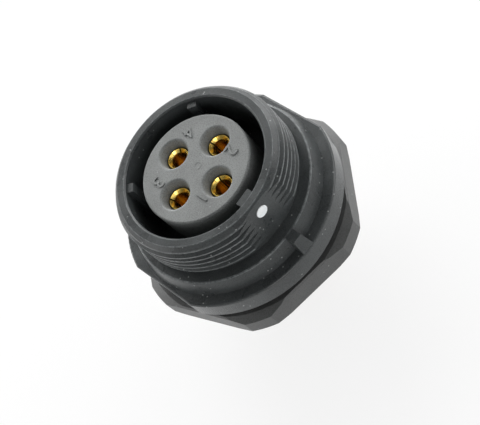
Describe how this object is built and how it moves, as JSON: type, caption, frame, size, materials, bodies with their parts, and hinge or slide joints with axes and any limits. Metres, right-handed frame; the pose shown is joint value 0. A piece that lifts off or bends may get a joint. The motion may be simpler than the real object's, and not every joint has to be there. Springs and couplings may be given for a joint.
{
  "type": "panel receptacle connector",
  "caption": "Round panel receptacle with a keyed cavity, slotted socket contacts, threaded coupling sleeve, cut-sided flange, sealing ring and hexagonal lock nut on its rear barrel.",
  "frame": {"origin": "on the axis, in the panel plane: the rear face of the gasket, which sits on the panel", "axes": "+Z along the axis, out of the mating face; -Y towards the wide key, the tab and the dot; +X to the contact numbered 2"},
  "size_m": [0.0306, 0.0302, 0.0265],
  "materials": {
    "shell": "satin black thermoplastic",
    "insert": "matt black thermoplastic",
    "seal": "red-brown silicone",
    "spring_steel": "phosphated spring steel",
    "contact": "gold-plated brass",
    "gasket": "matt black rubber",
    "nut": "matt black thermoplastic",
    "dot": "white marking lacquer"
  },
  "bodies": {
    "shell": {"receptacle_shell": "shell", "front_insert": "insert", "rear_insert": "insert", "insert_seal": "seal", "retaining_ring": "spring_steel", "socket_contact_1": "contact", "socket_contact_2": "contact", "socket_contact_3": "contact", "socket_contact_4": "contact", "contact_seal_1": "seal", "contact_seal_2": "seal", "contact_seal_3": "seal", "contact_seal_4": "seal", "panel_gasket": "gasket", "index_dot": "dot"},
    "nut": {"lock_nut": "nut"}
  },
  "joints": [
    {"name": "nut_travel", "type": "slide", "parent": "shell", "child": "nut", "axis": [0, 0, -1], "range_m": [0, 0.0047]}
  ]
}
